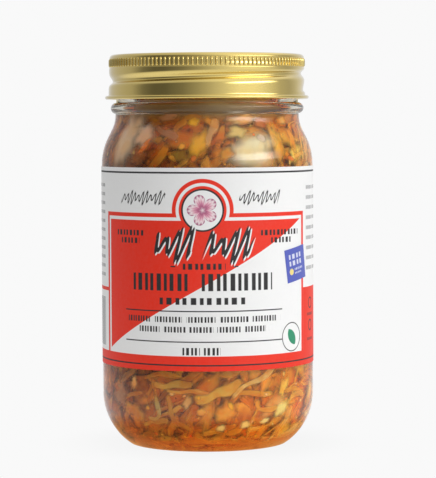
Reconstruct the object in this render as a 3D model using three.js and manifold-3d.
// Sauerkraut in a pint jar: a clear glass jar, its gold screw lid, its wrap-round paper label,
// a small sticker on the label, and the cut cabbage that fills the glass.
// Millimetres, +Z up. The front of the label faces -Y and the origin is the middle of the base.

import * as THREE from "three";
import { mergeVertices } from "three/addons/utils/BufferGeometryUtils.js";
import Module from "manifold-3d";

const wasm = await Module();
wasm.setup();

// Facets round the jar and what is wrapped on it, so that their faces lie parallel
const facets = 60;
const degrees = Math.PI / 180;

// Glass: outside radii and heights, and the curves that join them
const bodyRadius = 38.2;
const wall = 2.6;
const footRadius = 27.9;
const footWidth = 2.6;
const footStep = 0.9;
const pushUp = 1.5;
const heelTop = 18.4;
const heelCurve = 22;
const heelAngle = 56 * degrees;
const shoulderStart = 101;
const shoulderCurve = 22;
const shoulderSlope = 27 * degrees;
const neckCurve = 12;
const neckRadius = 33.2;
const ringHeight = 121.3;
const ringCentre = 32.85;
const ringBead = 2.05;
const finishRadius = 32.9;
const lipHeight = 139.9;
const lipCurve = 1;
const floorHeight = 4.2;

// Lid: a pressed sheet with a knurled edge, one helical groove and a rolled rim
const lidTop = 140.6;
const panelRadius = 29;
const panelDrop = 0.5;
const lidEdge = 35.2;
const lidCurve = 1.4;
const knurls = 132;
const knurlTop = 139.1;
const knurlBottom = 136;
const knurlCrest = 35.55;
const knurlRoot = 35.05;
const skirtTop = 135.7;
const skirtBottom = 126.2;
const skirtTopRadius = 35.35;
const skirtBottomRadius = 35.6;
const skirtRows = 11;
const grooveDepth = 1.4;
const grooveAbove = [2.6, 0.9];
const grooveBelow = [0.5, 1.6];
const groovePitch = 6.1;
const grooveStart = 127.2;
const grooveAngle = -30 * degrees;
const grooveTurns = 1.2;
const grooveFade = 0.14;
const rimHeight = 125.15;
const rimCentre = 36.2;
const rimCurl = 0.68;
const lidInside = 33.6;
const sheet = 0.35;

// Label and sticker: thin sleeves on the body, as radii, heights and angles
const labelBottom = 29.7;
const labelTop = 100.5;
const labelInside = 38.25;
const labelOutside = 38.4;
const labelGap = 12 * degrees;
const stickerInside = 38.43;
const stickerOutside = 38.55;
const stickerSide = 11.8;
const stickerHeight = 66.1;
const stickerAngle = -35.4 * degrees;
const stickerTilt = 9 * degrees;

// Cabbage: a core inside the glass, with leaf pieces and shreds pressed to the wall
const seed = 24;
const coreFacets = 24;
const coreDepth = 2.1;
const coreFloor = 5;
const heapBottom = 6.2;
const heapShoulder = 126;
const heapTop = 134;
const heapGap = 0.5;
const pieceDepth = 3.6;
const pieceLift = 0.4;
const leafSize = [11, 17];
const leafCorners = 6;
const leavesInBand = 12;
const shredLength = [13, 22];
const shredWidth = [2.6, 4];
const shredBend = 1.2;
const shredTilt = 0.7;
const shredSteps = 4;
const shredsInBand = 12;
const stripPieces = 5;
const bandOverlap = 2;

// Points on a round stretch of an outline
function arc(centreX, centreY, radius, from, to, steps) {
  return Array.from({ length: steps + 1 }, (_, i) => {
    const angle = from + ((to - from) * i) / steps;
    return new THREE.Vector2(centreX + radius * Math.cos(angle), centreY + radius * Math.sin(angle));
  });
}

// A shallow dome from the axis out to a radius, as an outline
function dome(radius, base, rise, steps) {
  return Array.from({ length: steps + 1 }, (_, i) => {
    const out = i / steps;
    return new THREE.Vector2(radius * out, base + rise * (1 - out ** 2));
  });
}

// The outline turned round the Z axis
function turned(outline, segments) {
  return new THREE.LatheGeometry(outline, segments).rotateX(Math.PI / 2);
}

// The shoulder and the curve into the neck, at a depth inside the outer face of the glass
function shoulder(depth, steps) {
  const curves = (shoulderCurve + neckCurve) * (1 - Math.cos(shoulderSlope));
  const cone = (bodyRadius - neckRadius - curves) / Math.sin(shoulderSlope);
  const rise = (shoulderCurve + neckCurve) * Math.sin(shoulderSlope) + cone * Math.cos(shoulderSlope);
  const convex = [bodyRadius - shoulderCurve, shoulderStart, shoulderCurve - depth];
  const concave = [neckRadius + neckCurve, shoulderStart + rise, neckCurve + depth];
  return [
    ...arc(...convex, 0, shoulderSlope, steps),
    ...arc(...concave, Math.PI + shoulderSlope, Math.PI, steps - 1),
  ];
}

// The inside of the jar from the neck down to the middle of the floor
function cavity(depth, floor) {
  const heelEnd = Math.asin((heelTop - floor) / (heelCurve - depth));
  const heel = arc(bodyRadius - heelCurve, heelTop, heelCurve - depth, 0, -heelEnd, 3);
  const middle = new THREE.Vector2(0, floor + pushUp);
  return [...shoulder(depth, 3).reverse(), ...heel, middle];
}

function glassJar() {
  const lipOuter = finishRadius - lipCurve;
  const lipInner = neckRadius - wall + lipCurve;
  const lipMiddle = lipHeight - lipCurve;
  const outline = [
    ...dome(footRadius - footWidth - footStep, footStep, pushUp, 2),
    new THREE.Vector2(footRadius - footWidth, 0),
    new THREE.Vector2(footRadius, 0),
    ...arc(bodyRadius - heelCurve, heelTop, heelCurve, -heelAngle, 0, 5),
    ...shoulder(0, 4),
    ...arc(ringCentre, ringHeight, ringBead, -80 * degrees, 88 * degrees, 5),
    ...arc(lipOuter, lipMiddle, lipCurve, 0, 90 * degrees, 1),
    ...arc(lipInner, lipMiddle, lipCurve, 90 * degrees, 180 * degrees, 1),
    ...cavity(wall, floorHeight),
  ];
  return turned(outline, facets);
}

// A closed ring of points round the axis, at one height, with a radius for each step
function loop(count, height, radiusAt) {
  return Array.from({ length: count }, (_, i) => {
    const angle = (2 * Math.PI * i) / count;
    const radius = radiusAt(angle, i);
    return new THREE.Vector3(radius * Math.cos(angle), radius * Math.sin(angle), height);
  });
}

// Triangles between two loops, which may have different numbers of points
function zip(upper, lower, upperStart, lowerStart) {
  const triangles = [];
  let i = 0;
  let j = 0;
  while (i < upper.length || j < lower.length) {
    const a = upperStart + (i % upper.length);
    const b = lowerStart + (j % lower.length);
    if ((i + 1) / upper.length <= (j + 1) / lower.length) {
      i += 1;
      if (upper.length > 1) triangles.push(a, b, upperStart + (i % upper.length));
    } else {
      j += 1;
      if (lower.length > 1) triangles.push(a, b, lowerStart + (j % lower.length));
    }
  }
  return triangles;
}

// A closed skin over a stack of loops whose first and last are single points
function skin(loops) {
  const starts = [];
  let count = 0;
  for (const points of loops) {
    starts.push(count);
    count += points.length;
  }
  const triangles = [];
  for (let k = 1; k < loops.length; k++) {
    triangles.push(...zip(loops[k - 1], loops[k], starts[k - 1], starts[k]));
  }
  const geometry = new THREE.BufferGeometry().setFromPoints(loops.flat());
  geometry.setIndex(triangles);
  geometry.computeVertexNormals();
  return geometry;
}

// How deep the thread groove is pressed in at an angle and a height. Its upper side starts wide
// and its lower side narrow, and they change over as the groove climbs towards the knurls.
function grooveAt(angle, height) {
  const turn = THREE.MathUtils.euclideanModulo(angle - grooveAngle, 2 * Math.PI) / (2 * Math.PI);
  let depth = 0;
  for (const along of [turn, turn + 1]) {
    const away = height - grooveStart - groovePitch * along;
    const side = away > 0 ? grooveAbove : grooveBelow;
    const width = THREE.MathUtils.lerp(...side, Math.min(along / grooveTurns, 1));
    const start = THREE.MathUtils.smoothstep(along, 0, grooveFade);
    const end = 1 - THREE.MathUtils.smoothstep(along, grooveTurns - grooveFade, grooveTurns);
    depth += grooveDepth * start * end * Math.exp(-((away / width) ** 2));
  }
  return depth;
}

function lid() {
  const round = (point) => loop(facets, point.y, () => point.x);
  const knurled = (height) =>
    loop(2 * knurls, height, (_, i) => (i % 2 === 0 ? knurlCrest : knurlRoot));
  const skirt = Array.from({ length: skirtRows }, (_, row) => {
    const down = row / (skirtRows - 1);
    const height = THREE.MathUtils.lerp(skirtTop, skirtBottom, down);
    const radius = THREE.MathUtils.lerp(skirtTopRadius, skirtBottomRadius, down);
    return loop(facets, height, (angle) => radius - grooveAt(angle, height));
  });
  const top = [
    new THREE.Vector2(panelRadius, lidTop - panelDrop),
    new THREE.Vector2(panelRadius + panelDrop, lidTop),
    ...arc(lidEdge - lidCurve, lidTop - lidCurve, lidCurve, 90 * degrees, 10 * degrees, 2),
  ];
  const rim = arc(rimCentre, rimHeight, rimCurl, 130 * degrees, -150 * degrees, 5);
  const stepInside = panelRadius + (Math.SQRT2 - 1) * sheet;
  const under = [
    new THREE.Vector2(lidInside, skirtBottom),
    new THREE.Vector2(lidInside, lidTop - lidCurve),
    new THREE.Vector2(lidInside - lidCurve, lidTop - sheet),
    new THREE.Vector2(stepInside + panelDrop, lidTop - sheet),
    new THREE.Vector2(stepInside, lidTop - panelDrop - sheet),
  ];
  return skin([
    [new THREE.Vector3(0, 0, lidTop - panelDrop)],
    ...top.map(round),
    knurled(knurlTop),
    knurled(knurlBottom),
    ...skirt,
    ...rim.map(round),
    ...under.map(round),
    [new THREE.Vector3(0, 0, lidTop - panelDrop - sheet)],
  ]);
}

// A thin sleeve round the jar, open at the back
function sleeve(inside, outside, bottom, top) {
  const from = 90 * degrees + labelGap / 2;
  const to = 450 * degrees - labelGap / 2;
  const steps = Math.round(((to - from) / (2 * Math.PI)) * facets);
  const outer = arc(0, 0, outside, from, to, steps);
  const inner = arc(0, 0, inside, to, from, steps);
  const plan = new THREE.Shape([...outer, ...inner]);
  const height = { depth: top - bottom, bevelEnabled: false };
  return new THREE.ExtrudeGeometry(plan, height).translate(0, 0, bottom);
}

// A closed mesh as a solid that can be cut and joined
function solid(geometry) {
  const bare = geometry.clone();
  bare.deleteAttribute("normal");
  bare.deleteAttribute("uv");
  const merged = mergeVertices(bare, 1e-4);
  const vertProperties = new Float32Array(merged.attributes.position.array);
  const triVerts = new Uint32Array(merged.index.array);
  return new wasm.Manifold(new wasm.Mesh({ numProp: 3, vertProperties, triVerts }));
}

// A solid as a mesh again
function shape(body) {
  const { vertProperties, triVerts } = body.getMesh();
  const geometry = new THREE.BufferGeometry();
  geometry.setAttribute("position", new THREE.BufferAttribute(vertProperties, 3));
  geometry.setIndex(new THREE.BufferAttribute(triVerts, 1));
  geometry.computeVertexNormals();
  return geometry;
}

// The sticker: a second sleeve cut out by a tilted square that faces straight out
function sticker() {
  const reach = bodyRadius;
  const square = new THREE.BoxGeometry(reach, stickerSide, stickerSide)
    .rotateX(stickerTilt)
    .translate(reach, 0, stickerHeight)
    .rotateZ(stickerAngle);
  const layer = sleeve(stickerInside, stickerOutside, labelBottom, labelTop);
  return shape(solid(layer).intersect(solid(square)));
}

// The heap's outline, and its radius at a height
const heapOutline = cavity(wall + heapGap, floorHeight + heapGap);

function heapRadius(height) {
  const below = heapOutline.findIndex((point) => point.y <= height);
  if (below === 0) return heapOutline[0].x;
  const [high, low] = [heapOutline[below - 1], heapOutline[below]];
  return THREE.MathUtils.mapLinear(height, low.y, high.y, low.x, high.x);
}

// A point on the heap's surface or under it, given by its place round, its height and its depth
function inHeap(around, height, depth) {
  const angle = around / bodyRadius;
  const radius = heapRadius(height) - depth;
  return new THREE.Vector3(radius * Math.cos(angle), radius * Math.sin(angle), height);
}

// The largest closed skin of a fused solid: pockets sealed inside it are filled, scraps dropped
function outerSkin(body) {
  return body.decompose().reduce((largest, part) => (part.volume() > largest.volume() ? part : largest));
}

// A repeatable source of even random numbers between two values
function dice(seed) {
  let state = seed;
  return (low, high) => {
    state = (state * 1664525 + 1013904223) % 2 ** 32;
    return low + ((high - low) * state) / 2 ** 32;
  };
}

// A flat cut of leaf with uneven corners, lying on the wall
function leafPiece(around, height, size, draw) {
  const middle = { around, height };
  const turn = draw(0, 2 * Math.PI);
  const rim = Array.from({ length: leafCorners }, (_, i) => {
    const angle = turn + (2 * Math.PI * (i + draw(-0.25, 0.25))) / leafCorners;
    const reach = (size / 2) * draw(0.65, 1);
    return { around: around + reach * Math.cos(angle), height: height + reach * Math.sin(angle) };
  });
  const lift = draw(0, pieceLift);
  const outer = [middle, ...rim].map((p) => inHeap(p.around, p.height, lift));
  const inner = [middle, ...rim].map((p) => inHeap(p.around, p.height, pieceDepth));
  const under = outer.length;
  const triangles = [];
  for (let i = 1; i <= leafCorners; i++) {
    const next = (i % leafCorners) + 1;
    triangles.push(0, i, next, under, under + next, under + i);
    triangles.push(i, under + i, next, next, under + i, under + next);
  }
  const geometry = new THREE.BufferGeometry().setFromPoints([...outer, ...inner]);
  return geometry.setIndex(triangles);
}

// A long curved shred that tapers a little at its ends
function shred(around, height, length, tilt, draw) {
  const width = draw(...shredWidth);
  const bend = draw(-shredBend, shredBend);
  const lift = draw(0, pieceLift);
  const step = length / shredSteps;
  const points = [];
  let at = {
    around: around - (length / 2) * Math.cos(tilt),
    height: height - (length / 2) * Math.sin(tilt),
  };
  for (let i = 0; i <= shredSteps; i++) {
    const t = i / shredSteps - 0.5;
    const heading = tilt + bend * t;
    const half = (width / 2) * (1 - 1.2 * t * t);
    const across = { around: -Math.sin(heading) * half, height: Math.cos(heading) * half };
    const left = [at.around + across.around, at.height + across.height];
    const right = [at.around - across.around, at.height - across.height];
    points.push(inHeap(...left, lift), inHeap(...right, lift));
    points.push(inHeap(...right, pieceDepth), inHeap(...left, pieceDepth));
    at = {
      around: at.around + step * Math.cos(heading),
      height: at.height + step * Math.sin(heading),
    };
  }
  const triangles = [0, 2, 1, 0, 3, 2];
  for (let i = 0; i < shredSteps; i++) {
    for (let k = 0; k < 4; k++) {
      const a = 4 * i + k;
      const b = 4 * i + ((k + 1) % 4);
      triangles.push(a, b, a + 4, b, b + 4, a + 4);
    }
  }
  const end = 4 * shredSteps;
  triangles.push(end, end + 1, end + 2, end, end + 2, end + 3);
  return new THREE.BufferGeometry().setFromPoints(points).setIndex(triangles);
}

// Leaf pieces and shreds spread evenly round the jar in a band of heights
function bandOfPieces(bottom, top, draw) {
  const round = 2 * Math.PI * bodyRadius;
  const pieces = [];
  for (let i = 0; i < leavesInBand; i++) {
    const around = (round * (i + draw(-0.2, 0.2))) / leavesInBand;
    const size = draw(...leafSize);
    pieces.push(leafPiece(around, draw(bottom + size / 2, top - size / 2), size, draw));
  }
  for (let i = 0; i < shredsInBand; i++) {
    const around = (round * (i + draw(-0.3, 0.3))) / shredsInBand;
    const length = draw(...shredLength);
    const height = draw(bottom + length / 3, top - length / 3);
    pieces.push(shred(around, height, length, draw(-shredTilt, shredTilt), draw));
  }
  return pieces;
}

// Leaf pieces up the strip of bare glass between the ends of the label
function stripOfPieces(draw) {
  const behind = (Math.PI / 2) * bodyRadius;
  return Array.from({ length: stripPieces }, (_, i) => {
    const height = THREE.MathUtils.lerp(labelBottom, labelTop, (i + 0.5) / stripPieces);
    return leafPiece(behind + draw(-bandOverlap, bandOverlap), height, draw(...leafSize), draw);
  });
}

function sauerkraut() {
  const draw = dice(seed);
  const core = cavity(wall + coreDepth, coreFloor).reverse();
  const neck = core[core.length - 1].x;
  core.push(new THREE.Vector2(neck, heapTop), new THREE.Vector2(0, heapTop));
  const lower = bandOfPieces(heapBottom, labelBottom + bandOverlap, draw);
  const upper = bandOfPieces(labelTop - bandOverlap, heapShoulder, draw);
  const pieces = [...lower, ...upper, ...stripOfPieces(draw)];
  let heap = solid(turned(core, coreFacets));
  for (const piece of pieces) {
    heap = heap.add(solid(piece));
  }
  return shape(outerSkin(heap));
}

// Finishes
const clearGlass = new THREE.MeshStandardMaterial({
  color: 0xe4ebe6,
  roughness: 0.04,
  metalness: 0,
  transparent: true,
  opacity: 0.25,
});
const goldLacquer = new THREE.MeshStandardMaterial({ color: 0xc8aa5a, roughness: 0.25, metalness: 1 });
const whitePaper = new THREE.MeshStandardMaterial({ color: 0xf3f2ef, roughness: 0.45, metalness: 0 });
const bluePrint = new THREE.MeshStandardMaterial({ color: 0x3b46a8, roughness: 0.4, metalness: 0 });
const amberCabbage = new THREE.MeshStandardMaterial({ color: 0xc48a48, roughness: 0.35, metalness: 0 });

const jar = new THREE.Group();

function place(name, geometry, material) {
  const mesh = new THREE.Mesh(geometry, material);
  mesh.name = name;
  jar.add(mesh);
}

place("glass_jar", glassJar(), clearGlass);
place("sauerkraut", sauerkraut(), amberCabbage);
place("lid", lid(), goldLacquer);
place("label", sleeve(labelInside, labelOutside, labelBottom, labelTop), whitePaper);
place("sticker", sticker(), bluePrint);

export default jar;
